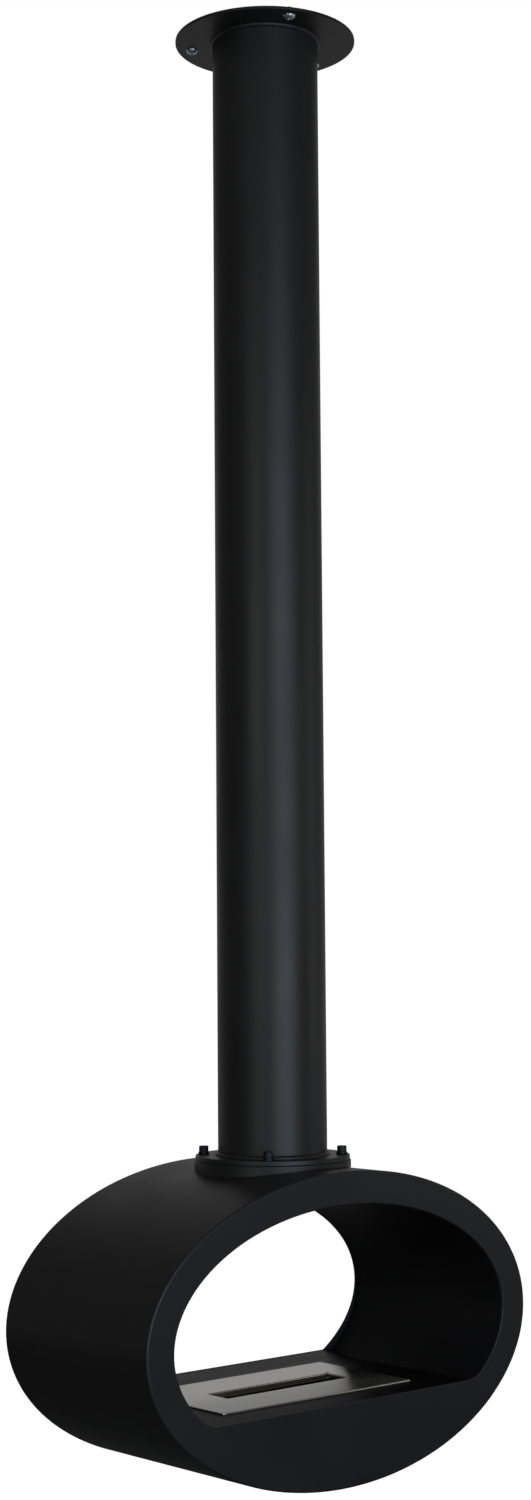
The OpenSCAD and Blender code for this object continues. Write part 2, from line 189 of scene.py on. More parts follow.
world = bpy.data.worlds.new("studio")
scene.world = world
studio = empty_tree(world)
ray = add_node(studio, "LightPath")
shiny = add_node(
    studio, "Math",
    {0: ray.outputs["Is Glossy Ray"], 1: ray.outputs["Is Transmission Ray"]},
    operation="MAXIMUM",
)
direction = add_node(studio, "TexCoord")
towards_wall = add_node(
    studio, "VectorMath",
    {0: direction.outputs["Generated"], 1: WALL_DIRECTION},
    operation="DOT_PRODUCT",
)
room_level = add_node(
    studio, "MapRange",
    {
        "Value": towards_wall.outputs["Value"],
        "From Min": WALL_EDGE_COSINE,
        "From Max": 1.0,
        "To Min": DIM_ROOM_LEVEL,
        "To Max": WALL_LEVEL,
    },
    interpolation_type="SMOOTHSTEP",
)
reflected_level = add_node(
    studio, "Mix",
    {0: shiny.outputs["Value"], 2: AMBIENT_LEVEL, 3: room_level.outputs["Result"]},
    data_type="FLOAT",
)
seen_level = add_node(
    studio, "Mix",
    {0: ray.outputs["Is Camera Ray"], 2: reflected_level.outputs[0], 3: CAMERA_LEVEL},
    data_type="FLOAT",
)
background = add_node(
    studio, "Background",
    {"Color": linear("#ffffff"), "Strength": seen_level.outputs[0]},
)
add_node(studio, "OutputWorld", {"Surface": background.outputs["Background"]})
print("Studio: ambient", AMBIENT_LEVEL, "and a wall of", WALL_LEVEL, "in reflections")

# %% [markdown]
# ## Lamps
#
# Large soft boxes give wide highlights with soft ends. Three tall ones stand side by side in front of
# the object. The wide one does most of the work. A slim one with a blue filter and a warm one stand to
# its right, and together they draw the long highlight down the tube, cooler in its middle than at its
# sides. The box on the left lights the drum's flank and the tube's left side, and the weaker one on the
# right keeps the other side from sinking into the dark. A small box above lights the crown of the drum.
# Light adds up, so each box's power and tint could be found by rendering it alone and weighing the
# results against each other.

# %% Soft boxes
def soft_box(name, place, target, width, height, power, tint="#ffffff"):
    """A rectangular lamp that stands at place and faces target, in metres and watts."""
    light = bpy.data.lights.new(name, "AREA")
    light.shape = "RECTANGLE"
    light.size = width
    light.size_y = height
    light.energy = power
    light.color = linear(tint)[:3]
    lamp = bpy.data.objects.new(name, light)
    lamp.location = place
    lamp.rotation_euler = (Vector(target) - Vector(place)).to_track_quat("-Z", "Y").to_euler()
    lamp.visible_camera = False
    scene.collection.objects.link(lamp)


soft_box("front_box", (0.3, -3.2, -1.3), (0.0, 0.0, -1.4), 1.0, 2.6, 13, "#fff0d9")
soft_box("slim_box", (-0.2, -3.2, -1.3), (0.0, 0.0, -1.4), 0.5, 2.6, 12, "#9ac2ff")
soft_box("wide_box", (-1.1, -3.0, -1.1), (0.0, 0.0, -1.2), 1.8, 2.6, 51, "#ebf1ff")
soft_box("left_box", (-3.0, -1.2, -1.0), (0.0, 0.0, -1.5), 1.2, 2.4, 17)
soft_box("right_box", (2.6, -1.9, -1.0), (0.0, 0.0, -1.4), 1.2, 2.0, 6.7)
soft_box("top_box", (-1.2, 0.2, 1.2), (-0.2, 0.0, -1.7), 1.2, 1.2, 1.5)

# %% [markdown]
# ## Floor
#
# The floor lies well below the drum, as in a room. To the camera it is pale and takes the object's
# shadow. A little light of its own, which only the camera and shiny surfaces see, brings its far part
# up to the white of the walls, so that no horizon line shows. To the camera that glow is weaker under
# the drum, which paints a soft round shade there on top of the real shadow. In reflections it is a
# duller grey that brightens slowly towards the wall, and it throws little light back up at the drum.
# Its underside is clear, so a camera that looks up from below still sees the object.

# %% Studio floor
FLOOR_DROP = 0.45
FLOOR_REACH = 40.0
floor_z = model_box[0].z - FLOOR_DROP

floor_corners = [(x, y, floor_z) for x, y in ((-1, -1), (1, -1), (1, 1), (-1, 1))]
floor_corners = [(x * FLOOR_REACH, y * FLOOR_REACH, z) for x, y, z in floor_corners]
floor_mesh = bpy.data.meshes.new("studio_floor")
floor_mesh.from_pydata(floor_corners, [], [(0, 1, 2, 3)])
studio_floor = bpy.data.objects.new("studio_floor", floor_mesh)
scene.collection.objects.link(studio_floor)
studio_floor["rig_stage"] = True
print("Floor at", round(floor_z, 3), "m")

# %% Paint of the studio floor
SEEN_COLOUR = "#e6e6e4"
REFLECTED_COLOUR = "#6c6c6a"
# Painted shade: right under the drum the floor's glow to the camera falls to this level.
GLOW_IN_PAINTED_SHADE = 0.68
WHITE_DISTANCE = 1.7
WALL_GLOW = 0.3
WALL_DISTANCE = 4.0

floor_paint = bpy.data.materials.new("pale_studio_floor")
tree = empty_tree(floor_paint)
ray = add_node(tree, "LightPath")
seen = add_node(
    tree, "Math",
    {0: ray.outputs["Is Camera Ray"], 1: ray.outputs["Is Glossy Ray"]},
    operation="MAXIMUM",
)
seen = add_node(
    tree, "Math",
    {0: seen.outputs["Value"], 1: ray.outputs["Is Transmission Ray"]},
    operation="MAXIMUM",
)
floor_colour = add_node(
    tree, "Mix",
    {0: ray.outputs["Is Camera Ray"], 6: linear(REFLECTED_COLOUR), 7: linear(SEEN_COLOUR)},
    data_type="RGBA",
)
matte = add_node(tree, "BsdfDiffuse", {"Color": floor_colour.outputs[2]})
place = add_node(tree, "TexCoord")
from_axis = add_node(
    tree, "VectorMath",
    {0: place.outputs["Object"], 1: (1.0, 1.0, 0.0)},
    operation="MULTIPLY",
)
from_axis = add_node(tree, "VectorMath", {0: from_axis.outputs["Vector"]}, operation="LENGTH")
# Painted shade under the drum: the camera's glow rises from its lower level at the axis to full white at
# WHITE_DISTANCE.
painted_shade_fade = add_node(
    tree, "MapRange",
    {"Value": from_axis.outputs["Value"], "From Max": WHITE_DISTANCE, "To Min": GLOW_IN_PAINTED_SHADE},
    interpolation_type="SMOOTHSTEP",
)
towards_wall = add_node(
    tree, "VectorMath",
    {0: place.outputs["Object"], 1: WALL_DIRECTION},
    operation="DOT_PRODUCT",
)
wall_side = add_node(
    tree, "MapRange",
    {"Value": towards_wall.outputs["Value"], "From Max": WALL_DISTANCE, "To Max": WALL_GLOW},
    interpolation_type="SMOOTHSTEP",
)
glow_level = add_node(
    tree, "Mix",
    {0: ray.outputs["Is Camera Ray"], 2: wall_side.outputs["Result"], 3: painted_shade_fade.outputs["Result"]},
    data_type="FLOAT",
)
glow_level = add_node(
    tree, "Math",
    {0: glow_level.outputs[0], 1: seen.outputs["Value"]},
    operation="MULTIPLY",
)
glow = add_node(
    tree, "Emission", {"Color": linear("#ffffff"), "Strength": glow_level.outputs["Value"]}
)
lifted = add_node(tree, "AddShader", {0: matte.outputs["BSDF"], 1: glow.outputs["Emission"]})
side_seen = add_node(tree, "NewGeometry")
clear = add_node(tree, "BsdfTransparent")
one_sided = add_node(
    tree, "MixShader",
    {0: side_seen.outputs["Backfacing"], 1: lifted.outputs["Shader"], 2: clear.outputs["BSDF"]},
)
add_node(tree, "OutputMaterial", {"Surface": one_sided.outputs["Shader"]})
floor_mesh.materials.append(floor_paint)
print("Made", floor_paint.name)

# %% [markdown]
# ## Matte black powder coat
#
# The drum, the tube and the ceiling plate are sheet steel with a powder coat: dry paint powder that is
# charged so that it clings, and then baked. It melts into a thick skin with a very fine pebbled
# surface, which breaks up reflections into a soft sheen. The real pebbles are about half a millimetre
# across. They are drawn 2.5 mm coarse here, because finer ones would fall between the picture's pixels.
# The skin is also a little thicker in some places, so the gloss drifts over a hand's breadth. A noise
# mostly stays between 0.3 and 0.7, and that range is what the gloss is spread over.

# %% A recipe for black paint
NOISE_LOW = 0.3
NOISE_HIGH = 0.7
PEBBLE_MM = 2.5
PEBBLE_HEIGHT = 0.0004
PAINT_DRIFT_MM = 140


def per_metre(millimetres):
    """Scale of a texture whose pattern repeats about once in that many millimetres."""
    return 1000.0 / millimetres


def black_paint(name, dark_colour, pale_colour, roughness_range, reflection):
    """Black paint on steel. Its colour and its roughness drift together, from the dark colour and the
    first roughness to the pale one and the second. reflection is how strongly it mirrors, where 0.5
    is a clear varnish."""
    material = bpy.data.materials.new(name)
    tree = empty_tree(material)
    place = add_node(tree, "TexCoord")
    drift = add_node(
        tree, "TexNoise",
        {"Vector": place.outputs["Object"], "Scale": per_metre(PAINT_DRIFT_MM), "Detail": 3.0},
    )
    pebbles = add_node(
        tree, "TexNoise",
        {"Vector": place.outputs["Object"], "Scale": per_metre(PEBBLE_MM), "Detail": 2.0},
    )
    colour = add_node(
        tree, "Mix",
        {0: drift.outputs["Fac"], 6: linear(dark_colour), 7: linear(pale_colour)},
        data_type="RGBA",
    )
    roughness = add_node(
        tree, "MapRange",
        {
            "Value": drift.outputs["Fac"],
            "From Min": NOISE_LOW,
            "From Max": NOISE_HIGH,
            "To Min": roughness_range[0],
            "To Max": roughness_range[1],
        },
    )
    relief = add_node(
        tree, "Bump",
        {"Height": pebbles.outputs["Fac"], "Strength": 0.12, "Distance": PEBBLE_HEIGHT},
    )
    paint = add_node(
        tree, "BsdfPrincipled",
        {
            "Base Color": colour.outputs[2],
            "Roughness": roughness.outputs["Result"],
            "Specular IOR Level": reflection,
            "Normal": relief.outputs["Normal"],
        },
    )
    add_node(tree, "OutputMaterial", {"Surface": paint.outputs["BSDF"]})
    return material


# %% Powder coat
powder_black = black_paint("matte_black_powder_coat", "#141414", "#1a1a1a", (0.40, 0.48), 0.32)
print("Made", powder_black.name)

# %% [markdown]
# ## Flat black of the arch
#
# The arch over the flames is sprayed with a silicone paint that stands the heat. It is filled with
# black pigment and dries without a gloss, so the inside of the drum looks deeper than the outside. The
# recipe is the same as for the powder coat, with a darker colour and a rougher, weaker gloss.

# %% Arch paint
arch_paint = black_paint("flat_black_silicone_paint", "#0b0b0c", "#101011", (0.52, 0.60), 0.18)
print("Made", arch_paint.name)

# %% [markdown]
# ## Heat-proof floor enamel
#
# The floor plate lies under the flames and is wiped clean of soot, so it has a harder, smoother black
# than the drum, which mirrors the backdrop more clearly but weakly. The cloth leaves faint streaks
# along the floor, which a noise draws that is stretched sixty times along X. In front of the burner,
# where fuel drips as it is poured, the gloss has gone. The roughness is therefore a mix of two ranges,
# and the place along Y says how much of each.

# %% Floor enamel
STREAK_LENGTH_MM = 240.0
STREAK_WIDTH_MM = 4.0
STREAK_HEIGHT = 0.0004
WIPED_ROUGHNESS = (0.32, 0.42)
DULLED_ROUGHNESS = (0.48, 0.58)
DULLED_PLACE = -0.09
WIPED_PLACE = 0.03

floor_enamel = bpy.data.materials.new("wiped_black_heat_enamel")
tree = empty_tree(floor_enamel)
place = add_node(tree, "TexCoord")
stretch = add_node(
    tree, "Mapping",
    {
        "Vector": place.outputs["Object"],
        "Scale": (per_metre(STREAK_LENGTH_MM), per_metre(STREAK_WIDTH_MM), per_metre(STREAK_WIDTH_MM)),
    },
)
streaks = add_node(
    tree, "TexNoise",
    {"Vector": stretch.outputs["Vector"], "Scale": 1.0, "Detail": 4.0, "Roughness": 0.6},
)
axes = add_node(tree, "SeparateXYZ", {"Vector": place.outputs["Object"]})
dulled = add_node(
    tree, "MapRange",
    {
        "Value": axes.outputs["Y"],
        "From Min": DULLED_PLACE,
        "From Max": WIPED_PLACE,
        "To Min": 1.0,
        "To Max": 0.0,
    },
    interpolation_type="SMOOTHSTEP",
)
lowest_roughness = add_node(
    tree, "Mix",
    {0: dulled.outputs["Result"], 2: WIPED_ROUGHNESS[0], 3: DULLED_ROUGHNESS[0]},
    data_type="FLOAT",
)
highest_roughness = add_node(
    tree, "Mix",
    {0: dulled.outputs["Result"], 2: WIPED_ROUGHNESS[1], 3: DULLED_ROUGHNESS[1]},
    data_type="FLOAT",
)
roughness = add_node(
    tree, "MapRange",
    {
        "Value": streaks.outputs["Fac"],
        "From Min": NOISE_LOW,
        "From Max": NOISE_HIGH,
        "To Min": lowest_roughness.outputs[0],
        "To Max": highest_roughness.outputs[0],
    },
)
relief = add_node(
    tree, "Bump",
    {"Height": streaks.outputs["Fac"], "Strength": 0.06, "Distance": STREAK_HEIGHT},
)
enamel = add_node(
    tree, "BsdfPrincipled",
    {
        "Base Color": linear("#0b0b0c"),
        "Roughness": roughness.outputs["Result"],
        "Specular IOR Level": 0.1,
        "Normal": relief.outputs["Normal"],
    },
)
add_node(tree, "OutputMaterial", {"Surface": enamel.outputs["BSDF"]})
print("Made", floor_enamel.name)

# %% [markdown]
# ## Metals
#
# Four bare metals share one recipe: a metallic shader whose roughness and colour follow a noise.
# Brushed stainless has long fine lines from the belt that ground it, drawn 1.2 mm apart where the real
# ones are finer than a tenth of that. The lines run along X and smear every reflection along Y, across
# them, which is what anisotropy does. Hands rub the burner's front when it is lifted out, and blur it
# there. Stainless next to the flames is tinted brown by a thin skin of oxide, in soft clouds. Bright
# zinc plate on the ceiling screws is smooth with a faint cloudiness. Blackened steel is dipped in hot
# salts, which leave it dark and a little blotchy.

# %% A recipe for bare metal
GRAIN_HEIGHT = 0.0002
RUBBED_PLACE = -0.06
UNTOUCHED_PLACE = 0.04


def bare_metal(name, dull_colour, bright_colour, roughness_range, grain_mm, relief, brushed=0.0,
               handled=0.0):
    """A metal whose grain is as long, deep and high as grain_mm says, along X, Y and Z. relief is how
    much the grain is felt. brushed says how much it smears reflections along Y, across its grain, from
    0 to 1. handled is how much rougher it is towards the front, where hands have rubbed it."""
    material = bpy.data.materials.new(name)
    tree = empty_tree(material)
    place = add_node(tree, "TexCoord")
    stretch = add_node(
        tree, "Mapping",
        {"Vector": place.outputs["Object"], "Scale": [per_metre(size) for size in grain_mm]},
    )
    grain = add_node(
        tree, "TexNoise",
        {"Vector": stretch.outputs["Vector"], "Scale": 1.0, "Detail": 3.0, "Roughness": 0.6},
    )
    colour = add_node(
        tree, "Mix",
        {0: grain.outputs["Fac"], 6: linear(dull_colour), 7: linear(bright_colour)},
        data_type="RGBA",
    )
    roughness = add_node(
        tree, "MapRange",
        {
            "Value": grain.outputs["Fac"],
            "From Min": NOISE_LOW,
            "From Max": NOISE_HIGH,
            "To Min": roughness_range[0],
            "To Max": roughness_range[1],
        },
    )
    axes = add_node(tree, "SeparateXYZ", {"Vector": place.outputs["Object"]})
    rubbed = add_node(
        tree, "MapRange",
        {
            "Value": axes.outputs["Y"],
            "From Min": RUBBED_PLACE,
            "From Max": UNTOUCHED_PLACE,
            "To Min": handled,
            "To Max": 0.0,
        },
        interpolation_type="SMOOTHSTEP",
    )
    roughness = add_node(
        tree, "Math",
        {0: roughness.outputs["Result"], 1: rubbed.outputs["Result"]},
        operation="ADD",
    )
    scratched = add_node(
        tree, "Bump",
        {"Height": grain.outputs["Fac"], "Strength": relief, "Distance": GRAIN_HEIGHT},
    )
    across = add_node(
        tree, "VectorTransform",
        {"Vector": (0.0, 1.0, 0.0)},
        vector_type="VECTOR", convert_from="OBJECT", convert_to="WORLD",
    )
    metal = add_node(
        tree, "BsdfPrincipled",
        {
            "Base Color": colour.outputs[2],
            "Metallic": 1.0,
            "Roughness": roughness.outputs["Value"],
            "Anisotropic": brushed,
            "Tangent": across.outputs["Vector"],
            "Normal": scratched.outputs["Normal"],
        },
    )
    add_node(tree, "OutputMaterial", {"Surface": metal.outputs["BSDF"]})
    return material


# %% Stainless, zinc and blackened steel
brushed_stainless = bare_metal(
    "brushed_stainless_steel", "#b6b5af", "#d1d0cb", (0.17, 0.23), (110, 1.2, 1.2), 0.04,
    brushed=0.9, handled=0.09,
)
heat_tinted_stainless = bare_metal(
    "heat_tinted_stainless_steel", "#5c554a", "#7f7667", (0.36, 0.50), (40, 12, 12), 0.05
)
zinc_plate = bare_metal("bright_zinc_plate", "#b9bdc1", "#d0d3d6", (0.28, 0.40), (3, 3, 3), 0.10)
blackened_steel = bare_metal("blackened_steel", "#1f2023", "#2e2f33", (0.30, 0.42), (2, 2, 2), 0.15)
print("Made", [m.name for m in (brushed_stainless, heat_tinted_stainless, zinc_plate, blackened_steel)])

# %% [markdown]
# ## Porous ceramic
#
# The insert in the tank soaks up the fuel. It is pressed from ceramic fibre: off-white, without any
# gloss, and slightly woolly. Short fibres are drawn by a noise that is stretched along X. They are 1.5
# mm wide where real ones are finer than a hair, so that they show.

# %% Ceramic fibre
FIBRE_LENGTH_MM = 6.0
FIBRE_WIDTH_MM = 1.5
FIBRE_HEIGHT = 0.0008

ceramic_fibre = bpy.data.materials.new("pressed_ceramic_fibre")
tree = empty_tree(ceramic_fibre)
place = add_node(tree, "TexCoord")
stretch = add_node(
    tree, "Mapping",
    {
        "Vector": place.outputs["Object"],
        "Scale": (per_metre(FIBRE_LENGTH_MM), per_metre(FIBRE_WIDTH_MM), per_metre(FIBRE_WIDTH_MM)),
    },
)
fibres = add_node(
    tree, "TexNoise",
    {"Vector": stretch.outputs["Vector"], "Scale": 1.0, "Detail": 5.0, "Roughness": 0.7},
)
colour = add_node(
    tree, "Mix",
    {0: fibres.outputs["Fac"], 6: linear("#cfc8b8"), 7: linear("#ece7db")},
    data_type="RGBA",
)
relief = add_node(
    tree, "Bump",
    {"Height": fibres.outputs["Fac"], "Strength": 0.6, "Distance": FIBRE_HEIGHT},
)
felt = add_node(
    tree, "BsdfPrincipled",
    {"Base Color": colour.outputs[2], "Roughness": 0.95, "Normal": relief.outputs["Normal"]},
)
add_node(tree, "OutputMaterial", {"Surface": felt.outputs["BSDF"]})
print("Made", ceramic_fibre.name)

# %% [markdown]
# ## Finishes of the parts that keep their shape
#
# Many parts of the model are right as they are: bent sheet, flat plates, the perforated guard. They
# keep their meshes and only get a finish. It follows the record's material slot, apart from five parts
# that differ: the floor and the arch have paints of their own, and three of the burner's parts are
# tinted by the heat. Parts that get a new shape further down hide their own.

# %% Dress the parts of the model
FINISHES = {
    "black_coat": powder_black,
    "zinc_plate": zinc_plate,
    "dark_steel": blackened_steel,
    "stainless": brushed_stainless,
    "porous_ceramic": ceramic_fibre,
}
OWN_FINISHES = {
    "hearth_floor": floor_enamel,
    "inner_liner": arch_paint,
    "burner_tank": heat_tinted_stainless,
    "insert_guard": heat_tinted_stainless,
    "slider_rails": heat_tinted_stainless,
}
slot_of_node = {part["node"]: part["material_slot"] for part in frame["record"]["subparts"]}
for node_name, model_part in frame["nodes"].items():
    usual_finish = FINISHES[slot_of_node[node_name]]
    for material_slot in model_part.material_slots:
        material_slot.material = OWN_FINISHES.get(node_name, usual_finish)
print("Dressed", len(frame["nodes"]), "parts of the model")

# %% [markdown]
# ## Surfaces from grids
#
# Every new piece below is a grid of points. Its rows follow a cross-section, and its columns go once
# round an axis or an outline. Where the cross-section is a closed line, the last row joins the first.
# Where it starts and ends on the axis, the points of the first and last rows fall together and are
# merged. All sizes are in millimetres until the mesh is made.

# %% Helpers for meshes
MM = 0.001
SAME_POINT = 0.001 * MM
SHARP_EDGE = math.radians(40)


def box_mm(node_name):
    """Lowest and highest corner of a part of the model, in millimetres."""
    return [np.array(corner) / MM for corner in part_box(node_name)]


def merged(mesh):
    """Joins points that fall together, turns every face outwards and shades the mesh smooth."""
    work = bmesh.new()
    work.from_mesh(mesh)
    bmesh.ops.remove_doubles(work, verts=work.verts, dist=SAME_POINT)
    bmesh.ops.recalc_face_normals(work, faces=work.faces)
    work.to_mesh(mesh)
    work.free()
    mesh.shade_smooth()
    mesh.set_sharp_from_angle(angle=SHARP_EDGE)
    return mesh


def mesh_from_grids(name, grids, closed_section):
    """One mesh from several grids. Each grid is rows x columns x 3. Its columns always close round,
    and its rows do where closed_section is true. Each quad joins four neighbouring points."""
    quads, start = [], 0
    for grid in grids:
        rows, columns = grid.shape[:2]
        row = np.arange(rows if closed_section else rows - 1)[:, None]
        column = np.arange(columns)[None, :]
        next_row = (row + 1) % rows
        next_column = (column + 1) % columns
        corners = np.broadcast_arrays(
            row * columns + column,
            row * columns + next_column,
            next_row * columns + next_column,
            next_row * columns + column,
        )
        quads.append(np.stack(corners, axis=-1).reshape(-1, 4) + start)
        start += rows * columns
    points = np.concatenate([grid.reshape(-1, 3) for grid in grids]) * MM
    mesh = bpy.data.meshes.new(name)
    mesh.from_pydata(points, [], np.concatenate(quads))
    return merged(mesh)


def finish_piece(name, mesh, node_name, material):
    """Puts a mesh in the scene as the piece that stands for a part of the model. It rides on the same
    body, and even shading keeps its flat faces flat next to their rounded edges."""
    piece = bpy.data.objects.new(name, mesh)
    scene.collection.objects.link(piece)
    mesh.materials.clear()
    mesh.materials.append(material)
    even_shading = piece.modifiers.new("even_shading", "WEIGHTED_NORMAL")
    even_shading.keep_sharp = True
    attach(piece, frame["nodes"][node_name]["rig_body"])
    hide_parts(node_name)
    print("Made", name, "with", len(mesh.polygons), "faces")
    return piece


def quarter_round(steps):
    """Cosine and sine over a quarter turn, from (1, 0) to (0, 1)."""
    turn = np.linspace(0.0, math.pi / 2, steps)
    return np.cos(turn), np.sin(turn)


# %% [markdown]
# ## Turned parts
#
# The tube, the collar, the welds, the screws and the pin are all round. Each row of their grids has a
# radius and a height, and either of them may change with the angle. A radius that changes makes a
# hexagon socket, a knurl or a thread. A height that changes makes the collar's saddle.

# %% Helpers for turned parts
def round_angles(columns):
    """The angle of each column of a turned grid: an equal share of the full turn for each."""
    return np.arange(columns) * 2 * math.pi / columns


def turned(rows, columns, centre=(0.0, 0.0)):
    """Grid around an upright axis. The point of a row at an angle lies at the row's radius times the
    cosine and sine of the angle, from the centre, and at the row's height."""
    angle = round_angles(columns)
    radius = np.array([np.broadcast_to(row[0], columns) for row in rows])
    height = np.array([np.broadcast_to(row[1], columns) for row in rows])
    return np.stack(
        [centre[0] + radius * np.cos(angle), centre[1] + radius * np.sin(angle), height], axis=-1
    )


# %% [markdown]
# ## Suspension tube
#
# The tube carries the drum. Its section is its wall, seen once: down the bore, round the lower edge, up
# the outside and round the upper edge. A cylinder with a bevel would do as well, but with 360 columns
# of our own the long highlight runs down it without facets.

# %% Suspension tube
TUBE_WALL = 2.0
TUBE_EDGE = 0.5
TUBE_COLUMNS = 360

tube_low, tube_high = box_mm("suspension_tube")
tube_radius = tube_high[0]
cosine, sine = quarter_round(4)
outer_r = tube_radius - TUBE_EDGE * (1 - cosine)
edge_rise = TUBE_EDGE * (1 - sine)
tube_rows = [(tube_radius - TUBE_WALL, tube_low[2])]
tube_rows += list(zip(outer_r[::-1], tube_low[2] + edge_rise[::-1]))
tube_rows += list(zip(outer_r, tube_high[2] - edge_rise))
tube_rows += [(tube_radius - TUBE_WALL, tube_high[2])]
tube_mesh = mesh_from_grids("long_tube", [turned(tube_rows, TUBE_COLUMNS)], closed_section=True)
finish_piece("long_tube", tube_mesh, "suspension_tube", powder_black)

# %% [markdown]
# ## Saddle collar
#
# The collar under the flange has a flat top and a lower edge that follows the drum. It could be cut by
# a Boolean modifier, which leaves ragged faces along the cut. The drum's curve only depends on X, so
# each point of the saddle takes its height from the ellipse above its own X instead. The foot of the
# collar stands a third of a millimetre off the drum, as the construction model's does.

# %% Saddle collar
shell_low, shell_high = box_mm("outer_shell")
drum_half_width = shell_high[0]
drum_half_height = (shell_high[2] - shell_low[2]) / 2
drum_middle = (shell_high[2] + shell_low[2]) / 2
SEAT_GAP = 0.3
COLLAR_EDGE = 1.0
COLLAR_BORE = 70.0
COLLAR_COLUMNS = 288


def drum_height(x):
    """Height of the drum's outside above a place x, from the ellipse's equation."""
    half_width = drum_half_width + SEAT_GAP
    half_height = drum_half_height + SEAT_GAP
    return drum_middle + half_height * np.sqrt(1 - (x / half_width) ** 2)


collar_high = box_mm("body_collar")[1]
collar_radius = collar_high[0]
collar_top = collar_high[2]
cosine, sine = quarter_round(5)
collar_x = np.cos(round_angles(COLLAR_COLUMNS))
collar_rows = [(COLLAR_BORE, collar_top)]
collar_rows += list(
    zip(collar_radius - COLLAR_EDGE * (1 - cosine[::-1]), collar_top - COLLAR_EDGE * (1 - sine[::-1]))
)
collar_rows += [(r, drum_height(r * collar_x)) for r in np.linspace(collar_radius, COLLAR_BORE, 9)]
collar_mesh = mesh_from_grids(
    "saddle_collar", [turned(collar_rows, COLLAR_COLUMNS)], closed_section=True
)
finish_piece("saddle_collar", collar_mesh, "body_collar", powder_black)

# %% [markdown]
# ## Weld beads
#
# The tube is welded to the ceiling plate and to its flange. A hand-held torch leaves one small
# overlapping scale for each pulse, about 4 mm apart. The bead's section is a bulging quarter circle,
# and its size swells and shrinks with the scales as it goes round, but only by a few hundredths,
# because the powder coat fills the hollows and leaves the bead nearly smooth.

# %% Weld beads
SCALE_PITCH = 4.0
SCALE_DEPTH = 0.03
COLUMNS_PER_SCALE = 6


def weld_bead(name, node_name, corner_z, side):
    """Bead in the corner between the tube and a plate at corner_z. side is 1 where it stands on the
    plate and -1 where it hangs under it. Its leg is the width that the model's bead has, less a share
    that rises and falls once for each scale."""
    inner_r = tube_radius + SEAT_GAP
    leg = box_mm(node_name)[1][0] - inner_r
    scales = round(2 * math.pi * inner_r / SCALE_PITCH)
    columns = COLUMNS_PER_SCALE * scales
    angle = round_angles(columns)
    size = leg * (1 - SCALE_DEPTH * (1 - np.abs(np.cos(angle * scales / 2))))
    cosine, sine = quarter_round(7)
    rows = [(inner_r, corner_z)]
    rows += [(inner_r + size * c, corner_z + side * size * s) for c, s in zip(cosine, sine)]
    mesh = mesh_from_grids(name, [turned(rows, columns)], closed_section=True)
    finish_piece(name, mesh, node_name, powder_black)


weld_bead("upper_weld_bead", "ceiling_weld", tube_high[2], -1)
weld_bead("lower_weld_bead", "flange_weld", tube_low[2], 1)

# %% [markdown]
# ## Screws
#
# The ceiling screws have domed heads with a hexagon socket, and their threads show above the plate.
# The flange has cap screws, whose cylindrical heads are knurled for the fingers. A hexagon's radius is
# half its width across the flats, divided by the cosine of the angle from the middle of the nearest
# flat. A thread's radius falls and rises along the height, and one whole turn shifts that wave by one
# pitch.

# %% Ceiling screws
SCREW_COLUMNS = 144
SOCKET_WIDTH = 6.0
CEILING_SCREW_COUNT = 3
CEILING_SCREW_CIRCLE = 107.0
CEILING_SCREW_TURN = 7.0
HEAD_RADIUS = 8.75
HEAD_HEIGHT = 5.5
SOCKET_DEPTH = 3.3
SOCKET_LIP = 0.3
DOME_START_RADIUS = 3.9
NECK_RADIUS = 4.25
THREAD_RADIUS = 5.0
THREAD_PITCH = 1.5
THREAD_DEPTH = 0.8
THREAD_CHAMFER = 0.8
THREAD_ROWS = 45


def hexagon_radius(width):
    """Distance from the axis to the side of a hexagon socket, for each column."""
    from_flat = (round_angles(SCREW_COLUMNS) + math.pi / 6) % (math.pi / 3) - math.pi / 6
    return width / 2 / np.cos(from_flat)


def ceiling_screw_rows():
    """Section of one ceiling screw, from the bottom of its socket over the head to the thread's end."""
    plate_low, plate_high = box_mm("ceiling_plate")
    head_top = plate_low[2]
    head_bottom = head_top - HEAD_HEIGHT
    dome_radius = (HEAD_RADIUS ** 2 + HEAD_HEIGHT ** 2) / (2 * HEAD_HEIGHT)
    dome_middle = head_bottom + dome_radius
    socket = hexagon_radius(SOCKET_WIDTH)
    rows = [(0.0, head_bottom + SOCKET_DEPTH), (socket, head_bottom + SOCKET_DEPTH)]
    socket_mouth = dome_middle - np.sqrt(dome_radius ** 2 - socket ** 2)
    rows += [(socket, socket_mouth + SOCKET_LIP)]
    dome = np.linspace(DOME_START_RADIUS, HEAD_RADIUS, 12)
    rows += list(zip(dome, dome_middle - np.sqrt(dome_radius ** 2 - dome ** 2)))
    rows += [(NECK_RADIUS, head_top), (NECK_RADIUS, plate_high[2])]
    end = box_mm("ceiling_screws")[1][2]
    turns = round_angles(SCREW_COLUMNS) / (2 * math.pi)
    for height in np.linspace(plate_high[2], end - THREAD_CHAMFER, THREAD_ROWS):
        wave = np.abs(2 * ((height / THREAD_PITCH - turns) % 1.0) - 1)
        rows += [(THREAD_RADIUS - THREAD_DEPTH * wave, height)]
    rows += [(THREAD_RADIUS - THREAD_DEPTH - THREAD_CHAMFER / 2, end), (0.0, end)]
    return rows


def circle_places(count, radius, first_turn):
    """Places of equally spaced screws on a circle, the first one turned from +X by degrees."""
    angle = np.radians(first_turn) + np.arange(count) * 2 * math.pi / count
    return np.stack([radius * np.cos(angle), radius * np.sin(angle)], axis=-1)


ceiling_grids = [
    turned(ceiling_screw_rows(), SCREW_COLUMNS, place)
    for place in circle_places(CEILING_SCREW_COUNT, CEILING_SCREW_CIRCLE, CEILING_SCREW_TURN)
]
ceiling_mesh = mesh_from_grids("domed_ceiling_screws", ceiling_grids, closed_section=False)
finish_piece("domed_ceiling_screws", ceiling_mesh, "ceiling_screws", zinc_plate)

